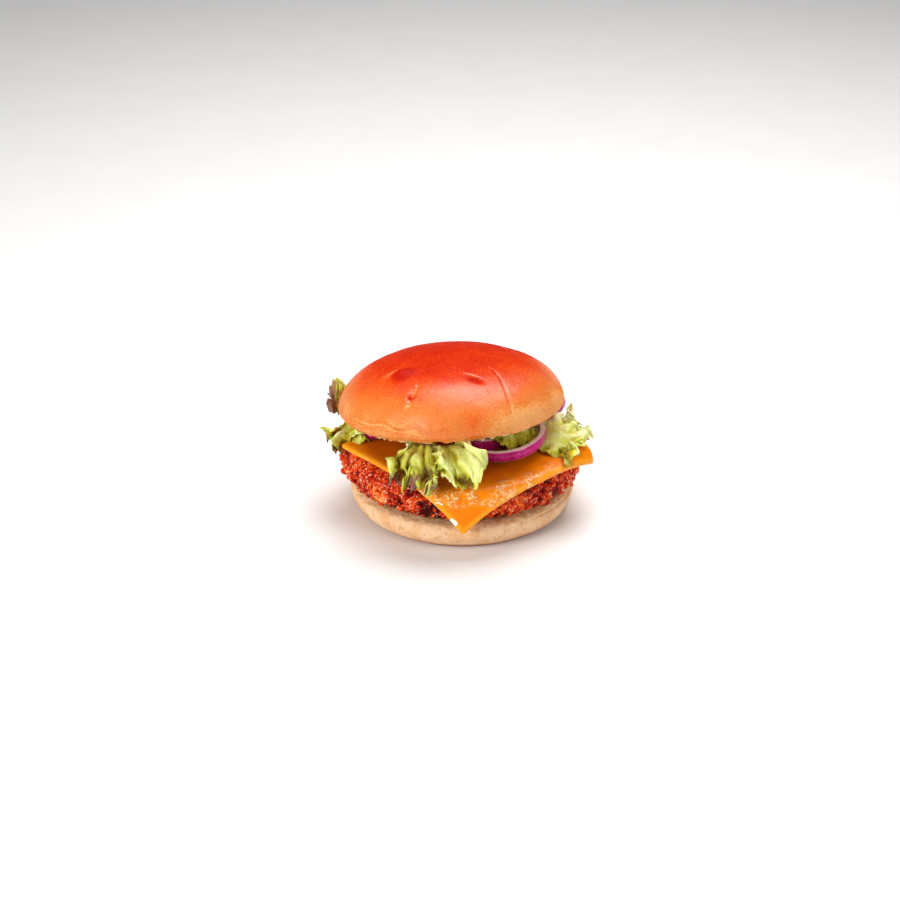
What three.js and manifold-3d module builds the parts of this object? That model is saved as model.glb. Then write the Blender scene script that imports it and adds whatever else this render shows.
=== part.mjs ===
// A chicken burger: a soft round bun with a crumbed chicken patty, a draped slice of cheese,
// red onion rings and frilly lettuce, its lid tipped back on the filling.
// Millimetres, +Z up, the front towards -Y. The origin is the centre of the heel's flat base.

import * as THREE from 'three';
import { mergeVertices } from 'three/addons/utils/BufferGeometryUtils.js';
import Module from 'manifold-3d';

const wasm = await Module();
wasm.setup();

// ---------------------------------------------------------------- driving dimensions

const GAP = 0.35; // clear space between one piece and the next
const WELD = 1e-4; // points closer than this are one point

const HEEL = {
  baseRadius: 45.5,
  radius: 54.5,
  topRadius: 50.5,
  widestHeight: 10,
  height: 13.2,
  lump: 0.5,
  lumpSize: 16,
  around: 40,
};

// The side's relief starts and is whole at reliefSpan, as shares of the base radius. The front is
// trimmed where the way out from the middle points forwards by more than trimFrom.
const PATTY = {
  centre: [-0.3, 0],
  baseRadius: 47.5,
  radius: 57,
  topRadius: 51,
  widestHeight: 10.5,
  thickness: 18.2,
  frontTrim: 3.8,
  trimFrom: 0.2,
  reliefSpan: [0.9, 1.06],
  crag: 1.5,
  cragSize: 8,
  crumb: 0.7,
  crumbSize: 3.6,
  topRelief: 0.3,
  around: 76,
};

// The bend starts at sideEdge at the sides and at frontEdge in front, turning from one to the
// other over frontSpan, the forward part of the way out from the middle.
const CHEESE = {
  side: 88,
  thickness: 2.7,
  centre: [4, -13.5],
  turn: -3.2,
  frontEdge: 51.2,
  sideEdge: 58.5,
  frontSpan: [0.1, 0.9],
  bendRadius: 6.5,
  hangAngle: 80,
  ripple: 0.35,
  rippleSize: 14,
  cells: 18,
};

const CROWN = {
  centre: [-5, -1, 52.8],
  cutRadius: 41,
  radius: 54.4,
  rimDepth: 5.6,
  domeHeight: 27.3,
  tiltBack: 10,
  roll: 3.4,
  lump: 0.7,
  lumpSize: 22,
  around: 44,
};

// Sizes that all onion rings share, as shares of a ring's height or radius.
const ONION = {
  skinBulge: 0.14,
  skinFlat: 0.45,
  hollow: 0.08,
  oval: 0.03,
  wobble: 0.015,
};

// A ring's centre is [x, y, z] and its height is the thickness of the slice it was cut from.
const ONION_RINGS = [
  {
    name: 'onion_ring_front',
    centre: [18.5, -12.5, 40.7],
    radius: 22.5,
    wall: 2.8,
    height: 4.8,
    tilt: 6,
    around: 32,
  },
  {
    name: 'onion_ring_small',
    centre: [11, -10, 39.1],
    radius: 10.6,
    wall: 2.4,
    height: 5.6,
    tilt: 1,
    around: 20,
  },
  {
    name: 'onion_ring_left',
    centre: [-44.5, 4, 38.1],
    radius: 12,
    wall: 2.4,
    height: 3.2,
    tilt: 0,
    around: 20,
  },
  {
    name: 'onion_ring_right',
    centre: [36, 25.5, 40.3],
    radius: 15.5,
    wall: 2.6,
    height: 4.6,
    tilt: 1,
    around: 24,
  },
];

// How every leaf turns from a smooth tucked-in stem into a frilled blade. Lengths along it are
// shares of its path. A rate is how fast noise changes, for each fold and then along the path.
// The skew grows over a span from -1 at a leaf's left side to 1 at its right.
const LEAF = {
  thickness: 1.2,
  bladeLength: 0.5,
  spreadLead: 0.2,
  spreadEnd: 1.05,
  stemFrill: 0.12,
  middleFrill: 0.55,
  slant: 1.2,
  seedTurn: 1.7,
  drift: 1.3,
  driftRate: [0.6, 1.5],
  wrinkle: 0.45,
  wrinkleRate: [1.4, 4],
  toothRate: 1.9,
  skewSpan: [-0.2, 1],
};

// Each leaf follows a path of [x, y, z] points from its tucked-in end to its frilled edge.
// Widths are across the path, and the stem is a share of it. Roll turns the blade about the path,
// its right side down. Cup is how far the blade's two sides droop. Rounding is how far its corners
// are rounded off, as a share of its half width, and skew how much more the right corner is.
const LEAVES = [
  {
    name: 'lettuce_front_left',
    path: [[-18, -18, 38], [-18.5, -31, 45.5], [-19.8, -43, 50], [-22.3, -53.5, 46], [-24, -58.5, 37]],
    widths: [10, 27],
    stem: 0.25,
    roll: 0,
    cup: 1.5,
    ruffle: 3,
    folds: 4.2,
    tooth: 4,
    rounding: 0.35,
    skew: 0,
    seed: 1,
    cells: [20, 10],
  },
  {
    name: 'lettuce_front',
    path: [[-8.5, -22, 38], [-7.2, -33, 45.5], [-5.8, -43.5, 50], [-2.4, -53, 46], [-1, -58, 36.5]],
    widths: [5, 24],
    stem: 0.3,
    roll: 14,
    cup: 0,
    ruffle: 2.6,
    folds: 2.6,
    tooth: 4,
    rounding: 0.9,
    skew: 0,
    seed: 2,
    cells: [13, 10],
  },
  {
    name: 'lettuce_right',
    path: [[33.5, -4, 37.9], [40, -6, 39.2], [48.5, -8, 40], [57, -8.5, 39.6], [64, -8, 37]],
    widths: [24, 49],
    stem: 0.25,
    roll: 3,
    cup: 1.5,
    ruffle: 2.6,
    folds: 3.5,
    tooth: 4,
    rounding: 0.3,
    skew: 0.35,
    seed: 3,
    cells: [18, 10],
  },
  {
    name: 'lettuce_left',
    path: [[-38, 3, 41.4], [-46, 1, 42], [-53.5, -3, 42], [-58, -7, 38], [-59.5, -10, 30]],
    widths: [6, 20],
    stem: 0.3,
    roll: -12,
    cup: 0,
    ruffle: 2.6,
    folds: 2.4,
    tooth: 3.5,
    rounding: 0.55,
    skew: 0,
    seed: 4,
    cells: [12, 10],
  },
  {
    name: 'lettuce_left_back',
    path: [[-36, 16, 40.6], [-46, 15, 41.4], [-54.5, 12, 43], [-59, 10, 47], [-60.5, 9, 52.5]],
    widths: [8, 17],
    stem: 0.3,
    roll: 20,
    cup: 0,
    ruffle: 2.4,
    folds: 2.2,
    tooth: 4.5,
    rounding: 0.9,
    skew: 0,
    seed: 8,
    cells: [11, 10],
  },
  {
    name: 'lettuce_inner',
    path: [[26, 9, 43.8], [26.5, 0, 44], [27, -10, 43.9], [26.5, -19, 43.2], [25.5, -25.5, 42]],
    widths: [14, 23],
    stem: 0.25,
    roll: 0,
    cup: 0,
    ruffle: 0.9,
    folds: 2,
    tooth: 2,
    rounding: 0.4,
    skew: 0,
    seed: 5,
    cells: [10, 7],
  },
  {
    name: 'lettuce_back_left',
    path: [[-13, 30, 37.2], [-19, 42, 36.4], [-25, 53, 36.4], [-28.5, 60, 35], [-30, 64, 30]],
    widths: [11, 41],
    stem: 0.25,
    roll: 0,
    cup: 0,
    ruffle: 3,
    folds: 4,
    tooth: 3.6,
    rounding: 0.55,
    skew: 0,
    seed: 6,
    cells: [17, 9],
  },
  {
    name: 'lettuce_back_right',
    path: [[12, 30, 37.4], [15, 42, 36.8], [18, 53, 37.2], [20, 60, 36.4], [21, 65, 32]],
    widths: [11, 42],
    stem: 0.25,
    roll: 0,
    cup: 0,
    ruffle: 3,
    folds: 4,
    tooth: 3.6,
    rounding: 0.55,
    skew: 0,
    seed: 7,
    cells: [17, 9],
  },
];

// Seeds of the smooth noise; a leaf's own seed is added to the last three.
const NOISE = {
  heel: 11,
  crown: 12,
  crag: 21,
  crumb: 22,
  cheese: 31,
  leafDrift: 20,
  leafWrinkle: 40,
  leafTeeth: 60,
};

// ---------------------------------------------------------------- small helpers

const radians = THREE.MathUtils.degToRad;
const { lerp, smoothstep } = THREE.MathUtils;

// A repeatable pseudo-random value from 0 to 1 for a whole-numbered place.
function scatter(i, j, k, seed) {
  const value = Math.sin(i * 127.1 + j * 311.7 + k * 74.7 + seed * 53.3) * 43758.5453;
  return value - Math.floor(value);
}

// Smooth noise from -1 to 1.
function noise(x, y, z, seed) {
  const [i, j, k] = [Math.floor(x), Math.floor(y), Math.floor(z)];
  const [fx, fy, fz] = [smoothstep(x - i, 0, 1), smoothstep(y - j, 0, 1), smoothstep(z - k, 0, 1)];
  const row = (dj, dk) => lerp(scatter(i, j + dj, k + dk, seed), scatter(i + 1, j + dj, k + dk, seed), fx);
  const layer = (dk) => lerp(row(0, dk), row(1, dk), fy);
  return 2 * lerp(layer(0), layer(1), fz) - 1;
}

function noiseAt(point, size, seed) {
  return noise(point.x / size, point.y / size, point.z / size, seed);
}

// The geometry with shared points merged and without triangles of no area.
function weld(geometry) {
  const bare = geometry.clone();
  bare.deleteAttribute('normal');
  bare.deleteAttribute('uv');
  const merged = mergeVertices(bare, WELD);
  const kept = [];
  const index = merged.index.array;
  for (let i = 0; i < index.length; i += 3) {
    const [a, b, c] = [index[i], index[i + 1], index[i + 2]];
    if (a !== b && b !== c && c !== a) {
      kept.push(a, b, c);
    }
  }
  merged.setIndex(kept);
  return merged;
}

// Moves every point of a geometry by the function move(point).
function reshape(geometry, move) {
  const position = geometry.getAttribute('position');
  const point = new THREE.Vector3();
  for (let i = 0; i < position.count; i += 1) {
    point.fromBufferAttribute(position, i);
    move(point);
    position.setXYZ(i, point.x, point.y, point.z);
  }
  return geometry;
}

// A profile of [radius, height] pairs turned about +Z.
function turned(profile, steps) {
  const points = profile.map(([radius, height]) => new THREE.Vector2(radius, height));
  const geometry = new THREE.LatheGeometry(points, steps);
  geometry.rotateX(Math.PI / 2);
  return weld(geometry);
}

function toManifold(geometry) {
  return new wasm.Manifold(new wasm.Mesh({
    numProp: 3,
    vertProperties: new Float32Array(geometry.getAttribute('position').array),
    triVerts: new Uint32Array(geometry.index.array),
  }));
}

function toGeometry(manifold) {
  const mesh = manifold.getMesh();
  const geometry = new THREE.BufferGeometry();
  geometry.setAttribute('position', new THREE.BufferAttribute(new Float32Array(mesh.vertProperties), 3));
  geometry.setIndex(new THREE.BufferAttribute(new Uint32Array(mesh.triVerts), 1));
  return geometry;
}

// Cuts the others out of a solid and keeps the largest piece that is left.
function cutBy(solid, others) {
  const left = others.reduce((rest, other) => rest.subtract(other), solid);
  const pieces = left.decompose();
  pieces.sort((a, b) => b.volume() - a.volume());
  return pieces[0];
}

// A rounded edge from a flat face's [radius, height] to the widest level's.
function roundedEdge(steps, face, widest) {
  const points = [];
  for (let i = 0; i <= steps; i += 1) {
    const angle = (i / steps) * (Math.PI / 2);
    points.push([
      lerp(face[0], widest[0], Math.sin(angle)),
      lerp(face[1], widest[1], 1 - Math.cos(angle)),
    ]);
  }
  return points;
}

// The profile of a round bun half or patty, from the middle of its base to the middle of its top.
function roundProfile({ base, widest, top, baseSteps, topSteps }) {
  const points = [[0, base[1]], [base[0] / 2, base[1]]];
  points.push(...roundedEdge(baseSteps, base, widest));
  points.push(...roundedEdge(topSteps, top, widest).reverse().slice(1));
  if (top[0] > 0) {
    points.push([top[0] * 2 / 3, top[1]], [top[0] / 3, top[1]], [0, top[1]]);
  }
  return points;
}

// ---------------------------------------------------------------- bun

function heelGeometry() {
  const profile = roundProfile({
    base: [HEEL.baseRadius, 0],
    widest: [HEEL.radius, HEEL.widestHeight],
    top: [HEEL.topRadius, HEEL.height],
    baseSteps: 5,
    topSteps: 2,
  });
  return reshape(turned(profile, HEEL.around), (p) => {
    const side = smoothstep(Math.hypot(p.x, p.y), HEEL.baseRadius, HEEL.radius);
    const scale = 1 + (HEEL.lump * side * noiseAt(p, HEEL.lumpSize, NOISE.heel)) / HEEL.radius;
    p.x *= scale;
    p.y *= scale;
  });
}

// The crown, turned and moved from its own frame, where z 0 is its widest level, to its place.
function crownGeometry(grow) {
  const profile = roundProfile({
    base: [CROWN.cutRadius, -CROWN.rimDepth - grow],
    widest: [CROWN.radius + grow, 0],
    top: [0, CROWN.domeHeight + grow],
    baseSteps: 4,
    topSteps: 10,
  });
  const geometry = reshape(turned(profile, CROWN.around), (p) => {
    const side = smoothstep(Math.hypot(p.x, p.y), 0, CROWN.cutRadius);
    const scale = 1 + (CROWN.lump * side * noiseAt(p, CROWN.lumpSize, NOISE.crown)) / CROWN.radius;
    p.x *= scale;
    p.y *= scale;
    p.z *= p.z > 0 ? scale : 1;
  });
  const turn = new THREE.Euler(-radians(CROWN.tiltBack), -radians(CROWN.roll), 0, 'YXZ');
  const place = new THREE.Matrix4().makeRotationFromEuler(turn).setPosition(...CROWN.centre);
  return geometry.applyMatrix4(place);
}

// ---------------------------------------------------------------- patty

const PATTY_BOTTOM = HEEL.height + GAP;
const PATTY_TOP = PATTY_BOTTOM + PATTY.thickness;

// The patty is less wide towards the front, by up to frontTrim.
function frontShrink(p) {
  const towardsFront = -p.y / Math.max(Math.hypot(p.x, p.y), 1);
  return (PATTY.frontTrim / PATTY.radius) * smoothstep(towardsFront, PATTY.trimFrom, 1);
}

function pattyGeometry(grow) {
  const profile = roundProfile({
    base: [PATTY.baseRadius, 0],
    widest: [PATTY.radius, PATTY.widestHeight],
    top: [PATTY.topRadius, PATTY.thickness],
    baseSteps: 7,
    topSteps: 7,
  });
  const highest = PATTY.crag + PATTY.crumb;
  return reshape(turned(profile, PATTY.around), (p) => {
    const reach = Math.max(Math.hypot(p.x, p.y), 1);
    const side = smoothstep(reach / PATTY.baseRadius, ...PATTY.reliefSpan);
    const top = smoothstep(p.z, PATTY.widestHeight, PATTY.thickness);
    const crag = PATTY.crag * noiseAt(p, PATTY.cragSize, NOISE.crag);
    const relief = crag + PATTY.crumb * noiseAt(p, PATTY.crumbSize, NOISE.crumb);
    const scale = 1 - frontShrink(p) + (side * relief + grow) / reach;
    p.set(
      PATTY.centre[0] + p.x * scale,
      PATTY.centre[1] + p.y * scale,
      PATTY_BOTTOM + p.z + top * (grow + (PATTY.topRelief * relief) / highest),
    );
  });
}

// ---------------------------------------------------------------- sheets: cheese and leaves

// A closed sheet of even thickness about the surface place(u, v), u and v from 0 to 1.
function sheetGeometry(columns, rows, thickness, place) {
  const grid = new THREE.PlaneGeometry(1, 1, columns, rows);
  const uv = grid.getAttribute('uv');
  const count = uv.count;
  const step = 1e-3;
  const upper = [];
  const lower = [];
  for (let i = 0; i < count; i += 1) {
    const [u, v] = [uv.getX(i), uv.getY(i)];
    const middle = place(u, v);
    const alongU = place(u + step, v).sub(place(u - step, v));
    const alongV = place(u, v + step).sub(place(u, v - step));
    const offset = alongU.cross(alongV).setLength(thickness / 2);
    upper.push(...middle.clone().add(offset).toArray());
    lower.push(...middle.clone().sub(offset).toArray());
  }
  const index = [];
  const face = grid.index.array;
  for (let i = 0; i < face.length; i += 3) {
    index.push(face[i], face[i + 1], face[i + 2]);
    index.push(count + face[i], count + face[i + 2], count + face[i + 1]);
  }
  const rim = [];
  const stride = columns + 1;
  for (let i = 0; i < columns; i += 1) rim.push(i);
  for (let i = 0; i < rows; i += 1) rim.push(columns + i * stride);
  for (let i = 0; i < columns; i += 1) rim.push(count - 1 - i);
  for (let i = 0; i < rows; i += 1) rim.push((rows - i) * stride);
  rim.forEach((a, i) => {
    const b = rim[(i + 1) % rim.length];
    index.push(a, b, count + b, a, count + b, count + a);
  });
  const geometry = new THREE.BufferGeometry();
  geometry.setAttribute('position', new THREE.Float32BufferAttribute([...upper, ...lower], 3));
  geometry.setIndex(index);
  return geometry;
}

// The height of the slice's middle where it lies flat.
const CHEESE_LEVEL = PATTY_TOP + PATTY.topRelief + GAP + CHEESE.thickness / 2;

// The slice lies flat on the patty, bends over its edge and hangs down. The bend starts further
// out at the sides, where the slice is still stiff.
function cheesePoint(u, v) {
  const [a, b] = [(u - 0.5) * CHEESE.side, (v - 0.5) * CHEESE.side];
  const turn = radians(45 + CHEESE.turn);
  const x = CHEESE.centre[0] + a * Math.cos(turn) - b * Math.sin(turn) - PATTY.centre[0];
  const y = CHEESE.centre[1] + a * Math.sin(turn) + b * Math.cos(turn) - PATTY.centre[1];
  const reach = Math.max(Math.hypot(x, y), 1);
  const edge = lerp(CHEESE.sideEdge, CHEESE.frontEdge, smoothstep(-y / reach, ...CHEESE.frontSpan));
  const over = Math.max(reach - edge, 0);
  const bend = Math.min(over / CHEESE.bendRadius, radians(CHEESE.hangAngle));
  const hang = over - bend * CHEESE.bendRadius;
  const outward = Math.min(reach, edge) + CHEESE.bendRadius * Math.sin(bend) + hang * Math.cos(bend);
  const down = CHEESE.bendRadius * (1 - Math.cos(bend)) + hang * Math.sin(bend);
  const ripple = CHEESE.ripple * (1 + noise(x / CHEESE.rippleSize, y / CHEESE.rippleSize, 0, NOISE.cheese));
  return new THREE.Vector3(
    PATTY.centre[0] + (x * outward) / reach,
    PATTY.centre[1] + (y * outward) / reach,
    CHEESE_LEVEL - down + ripple,
  );
}

function cheeseGeometry(grow) {
  return sheetGeometry(CHEESE.cells, CHEESE.cells, CHEESE.thickness + 2 * grow, cheesePoint);
}

// A leaf's middle surface: v 0 is the tucked-in end and v 1 the frilled edge, u runs across.
function leafPoint(leaf, curve, u, v) {
  const along = THREE.MathUtils.clamp(v, 0, 1);
  const side = 2 * u - 1;
  const blade = smoothstep(along, leaf.stem, leaf.stem + LEAF.bladeLength);
  const spread = smoothstep(along, leaf.stem - LEAF.spreadLead, LEAF.spreadEnd);
  const halfWidth = lerp(leaf.widths[0], leaf.widths[1], spread) / 2;

  const ahead = curve.getTangent(along);
  const across = new THREE.Vector3(ahead.y, -ahead.x, 0).normalize();
  across.applyAxisAngle(ahead, radians(leaf.roll) * blade);
  const face = across.clone().cross(ahead).normalize();

  const place = side * leaf.folds;
  const vary = ([aside, onwards], seed) => noise(place * aside, along * onwards, 0, leaf.seed + seed);
  const drift = LEAF.drift * vary(LEAF.driftRate, NOISE.leafDrift);
  const fold = Math.sin(Math.PI * place + LEAF.seedTurn * leaf.seed + LEAF.slant * along + drift);
  const wrinkle = LEAF.wrinkle * vary(LEAF.wrinkleRate, NOISE.leafWrinkle);
  const frill = lerp(LEAF.stemFrill, 1, blade) * lerp(LEAF.middleFrill, 1, side * side);
  const teeth = leaf.tooth * noise(place * LEAF.toothRate, 0.5, 0, leaf.seed + NOISE.leafTeeth);
  const trim = halfWidth * (leaf.rounding * side * side + leaf.skew * smoothstep(side, ...LEAF.skewSpan));
  const droop = leaf.cup * blade * side * side;

  return curve.getPoint(along)
    .addScaledVector(across, side * halfWidth)
    .addScaledVector(face, leaf.ruffle * frill * (fold + wrinkle) - droop)
    .addScaledVector(ahead, along * blade * (along * teeth - trim));
}

function leafGeometry(leaf, grow) {
  const curve = new THREE.CatmullRomCurve3(leaf.path.map((p) => new THREE.Vector3(...p)));
  const place = (u, v) => leafPoint(leaf, curve, u, v);
  return sheetGeometry(...leaf.cells, LEAF.thickness + 2 * grow, place);
}

// ---------------------------------------------------------------- onion

// A ring cut from the bulb: flat faces, a bulging skin side and a slightly hollow inside.
function onionGeometry(ring, grow) {
  const inner = ring.radius - ring.wall - grow;
  const outer = ring.radius + grow;
  const half = ring.height / 2 + grow;
  const face = outer - ONION.skinBulge * ring.height;
  const profile = [
    [inner, -half],
    [face, -half],
    [outer, -half * ONION.skinFlat],
    [outer, half * ONION.skinFlat],
    [face, half],
    [inner, half],
    [inner - ONION.hollow * ring.height, 0],
    [inner, -half],
  ];
  const geometry = reshape(turned(profile, ring.around), (p) => {
    const angle = Math.atan2(p.y, p.x);
    const oval = ONION.oval * Math.sin(2 * angle + ring.radius);
    const uneven = 1 + oval + ONION.wobble * Math.sin(3 * angle);
    p.x *= uneven;
    p.y *= uneven;
  });
  geometry.rotateY(-radians(ring.tilt));
  return geometry.translate(...ring.centre);
}

// ---------------------------------------------------------------- assembly

const FOODS = {
  heel: { color: 0xdcb48b, roughness: 0.85, metalness: 0 },
  crown: { color: 0xe07a2c, roughness: 0.5, metalness: 0 },
  patty: { color: 0xb23a16, roughness: 0.6, metalness: 0 },
  cheese: { color: 0xf39a1e, roughness: 0.3, metalness: 0 },
  onion: { color: 0xa03068, roughness: 0.3, metalness: 0 },
  lettuce: { color: 0xb5bf52, roughness: 0.45, metalness: 0 },
};

const burger = new THREE.Group();
burger.name = 'chicken_burger';

function addPiece(name, geometry, food) {
  const piece = new THREE.Mesh(geometry, new THREE.MeshStandardMaterial(FOODS[food]));
  piece.name = name;
  burger.add(piece);
}

addPiece('bun_heel', heelGeometry(), 'heel');
addPiece('chicken_patty', pattyGeometry(0), 'patty');
const cheese = cutBy(toManifold(cheeseGeometry(0)), [toManifold(pattyGeometry(GAP))]);
addPiece('cheese_slice', toGeometry(cheese), 'cheese');
addPiece('bun_crown', crownGeometry(0), 'crown');

// What a later piece must stay clear of, each grown by the gap.
const taken = [
  toManifold(crownGeometry(GAP)),
  toManifold(pattyGeometry(GAP)),
  toManifold(cheeseGeometry(GAP)),
];

for (const ring of ONION_RINGS) {
  addPiece(ring.name, onionGeometry(ring, 0), 'onion');
  taken.push(toManifold(onionGeometry(ring, GAP)));
}

for (const leaf of LEAVES) {
  const solid = cutBy(toManifold(leafGeometry(leaf, 0)), taken);
  addPiece(leaf.name, toGeometry(solid), 'lettuce');
  taken.push(toManifold(leafGeometry(leaf, GAP)));
}

export default burger;
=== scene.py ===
"""A chicken burger with its baked, fried, melted and fresh finishes.

Sizes are in millimetres until a mesh is made. The front points towards -Y.
"""

import math

import bpy
import numpy as np
from mathutils import Matrix, Vector


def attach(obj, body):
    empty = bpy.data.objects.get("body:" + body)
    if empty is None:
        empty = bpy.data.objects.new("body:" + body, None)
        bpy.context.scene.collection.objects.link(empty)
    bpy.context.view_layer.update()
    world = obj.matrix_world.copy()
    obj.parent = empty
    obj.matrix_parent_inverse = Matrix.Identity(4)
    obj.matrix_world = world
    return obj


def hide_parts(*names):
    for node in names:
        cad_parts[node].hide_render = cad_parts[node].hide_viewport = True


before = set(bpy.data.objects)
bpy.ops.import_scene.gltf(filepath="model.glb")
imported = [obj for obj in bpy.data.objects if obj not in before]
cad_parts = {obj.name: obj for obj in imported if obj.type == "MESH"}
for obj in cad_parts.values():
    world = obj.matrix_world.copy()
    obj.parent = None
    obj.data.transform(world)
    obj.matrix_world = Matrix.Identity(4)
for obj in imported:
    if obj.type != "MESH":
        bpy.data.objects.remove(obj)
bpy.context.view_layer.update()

MM = 0.001
GAP = 0.35

# ---------------------------------------------------------------- noise


def smooth(value, low, high):
    """0 below low, 1 above high and an S-curve between them."""
    t = np.clip((np.asarray(value, float) - low) / (high - low), 0, 1)
    return t * t * (3 - 2 * t)


def blend(low, high, amount):
    return low + (high - low) * amount


def scatter(i, j, k, seed):
    """A repeatable value from 0 to 1 for each whole-numbered place."""
    value = np.sin(i * 127.1 + j * 311.7 + k * 74.7 + seed * 53.3) * 43758.5453
    return value - np.floor(value)


def noise(x, y, z, seed):
    """Smooth noise from -1 to 1."""
    x, y, z = np.broadcast_arrays(*(np.asarray(c, float) for c in (x, y, z)))
    i, j, k = np.floor(x), np.floor(y), np.floor(z)
    fx, fy, fz = smooth(x - i, 0, 1), smooth(y - j, 0, 1), smooth(z - k, 0, 1)

    def row(dj, dk):
        return blend(scatter(i, j + dj, k + dk, seed), scatter(i + 1, j + dj, k + dk, seed), fx)

    def layer(dk):
        return blend(row(0, dk), row(1, dk), fy)

    return 2 * blend(layer(0), layer(1), fz) - 1


def noise_at(points, size, seed):
    return noise(points[:, 0] / size, points[:, 1] / size, points[:, 2] / size, seed)


def lumps(points, size, seed, octaves=3):
    """Noise of several sizes, each half the one before in size and height."""
    total = 0
    for octave in range(octaves):
        total = total + noise_at(points, size / 2**octave, seed + 7 * octave) / 2**octave
    return total


# ---------------------------------------------------------------- meshes


def shown(name, data):
    """A new object in the scene, unmoved."""
    thing = bpy.data.objects.new(name, data)
    bpy.context.scene.collection.objects.link(thing)
    return thing


def build(name, points, faces, material, marks=None, uv=None):
    """A smooth mesh object from points in millimetres. marks are numbers for each point."""
    mesh = bpy.data.meshes.new(name)
    mesh.from_pydata((np.asarray(points) * MM).tolist(), [], faces)
    mesh.validate()
    mesh.shade_smooth()
    for key, values in (marks or {}).items():
        layer = mesh.attributes.new(key, "FLOAT", "POINT")
        layer.data.foreach_set("value", np.asarray(values, np.float32))
    if uv is not None:
        corners = np.zeros(len(mesh.loops), np.int32)
        mesh.loops.foreach_get("vertex_index", corners)
        layer = mesh.uv_layers.new(name="leaf")
        layer.data.foreach_set("uv", np.asarray(uv, np.float32)[corners].ravel())
    mesh.materials.append(material)
    return shown(name, mesh)


def dress(piece, slot, *nodes):
    """Puts a finished piece in the place of its nodes."""
    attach(piece, "root")
    if nodes:
        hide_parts(*nodes)
    return piece


def ring_faces(rings, around):
    """Quads between neighbouring rings of points, each ring a closed loop."""
    faces = []
    for low in range(0, (rings - 1) * around, around):
        for j in range(around):
            k = (j + 1) % around
            faces.append((low + j, low + k, low + around + k, low + around + j))
    return faces


def turned(profile, around):
    """Points and faces of (radius, height) pairs turned about Z, the ends on the axis."""
    profile = np.asarray(profile, float)
    ring = profile[1:-1]
    angle = np.linspace(0, 2 * np.pi, around, endpoint=False)
    x = np.outer(ring[:, 0], np.cos(angle))
    y = np.outer(ring[:, 0], np.sin(angle))
    z = np.repeat(ring[:, 1:], around, axis=1)
    points = np.stack([x, y, z], axis=-1).reshape(-1, 3)
    ends = [[0, 0, profile[0, 1]], [0, 0, profile[-1, 1]]]
    low, high = len(points), len(points) + 1
    faces = ring_faces(len(ring), around)
    top = (len(ring) - 1) * around
    for j in range(around):
        k = (j + 1) % around
        faces.append((low, k, j))
        faces.append((high, top + j, top + k))
    return np.vstack([points, ends]), faces


def rounded_edge(steps, face, widest):
    """A rounded edge from a flat face's (radius, height) to the widest level's."""
    angle = np.linspace(0, np.pi / 2, steps + 1)
    return np.stack(
        [blend(face[0], widest[0], np.sin(angle)), blend(face[1], widest[1], 1 - np.cos(angle))],
        axis=1,
    )


def round_body(form):
    """Points and faces of a round bun half or patty, from its base, widest level and top."""
    base, widest, top = form["base"], form["widest"], form["top"]
    steps, base_rings, top_rings = form["rings"]
    parts = [[(base[0] * k / base_rings, base[1]) for k in range(base_rings)]]
    parts.append(rounded_edge(steps[0], base, widest))
    parts.append(rounded_edge(steps[1], top, widest)[::-1][1:])
    if top[0] > 0:
        parts.append([(top[0] * (1 - k / top_rings), top[1]) for k in range(1, top_rings + 1)])
    return turned(np.vstack(parts), form["around"])


def sheet(columns, rows, thickness, surface, rim):
    """A closed sheet, its edge rounded by rim rows of points. surface(u, v) gives its middle.

    thickness(u, v) may vary. Gives points, faces and the (u, v) of each point.
    """
    u, v = np.meshgrid(np.linspace(0, 1, columns + 1), np.linspace(0, 1, rows + 1))
    u, v = u.ravel(), v.ravel()
    step = 1e-3
    middle = surface(u, v)
    along_u = surface(u + step, v) - surface(u - step, v)
    along_v = surface(u, v + step) - surface(u, v - step)
    normal = np.cross(along_u, along_v)
    normal /= np.linalg.norm(normal, axis=1, keepdims=True)
    half = np.broadcast_to(np.asarray(thickness(u, v), float) / 2, u.shape)[:, None]
    count = len(u)
    stride = columns + 1
    points = [middle + normal * half, middle - normal * half]
    uvs = [np.stack([u, v], 1)] * 2
    faces = []
    for j in range(rows):
        for i in range(columns):
            a = j * stride + i
            b, c, d = a + 1, a + stride + 1, a + stride
            faces.append((a, b, c, d))
            faces.append((count + a, count + d, count + c, count + b))
    edge = list(range(columns))
    edge += [columns + j * stride for j in range(rows)]
    edge += [count - 1 - i for i in range(columns)]
    edge += [(rows - j) * stride for j in range(rows)]
    edge = np.array(edge)
    out = np.zeros((len(edge), 3))
    for at, (du, dv) in ((v[edge] < step, (0, -1)), (u[edge] > 1 - step, (1, 0)),
                         (v[edge] > 1 - step, (0, 1)), (u[edge] < step, (-1, 0))):
        push = du * along_u[edge] + dv * along_v[edge]
        push /= np.linalg.norm(push, axis=1, keepdims=True)
        out[at] += push[at]
    out /= np.linalg.norm(out, axis=1, keepdims=True)
    loops = [edge]
    total = 2 * count
    for k in range(1, rim + 1):
        angle = np.pi * (k / (rim + 1) - 0.5)
        way = out * math.cos(angle) - normal[edge] * math.sin(angle)
        points.append(middle[edge] + half[edge] * way)
        uvs.append(np.stack([u[edge], v[edge]], 1))
        loops.append(np.arange(total, total + len(edge)))
        total += len(edge)
    loops.append(edge + count)
    size = len(edge)
    for upper, lower in zip(loops, loops[1:]):
        for i in range(size):
            j = (i + 1) % size
            faces.append((int(upper[i]), int(lower[i]), int(lower[j]), int(upper[j])))
    return np.vstack(points), faces, np.vstack(uvs)


# ---------------------------------------------------------------- finishes

GRAIN_ROUGHNESS = 0.55


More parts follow.
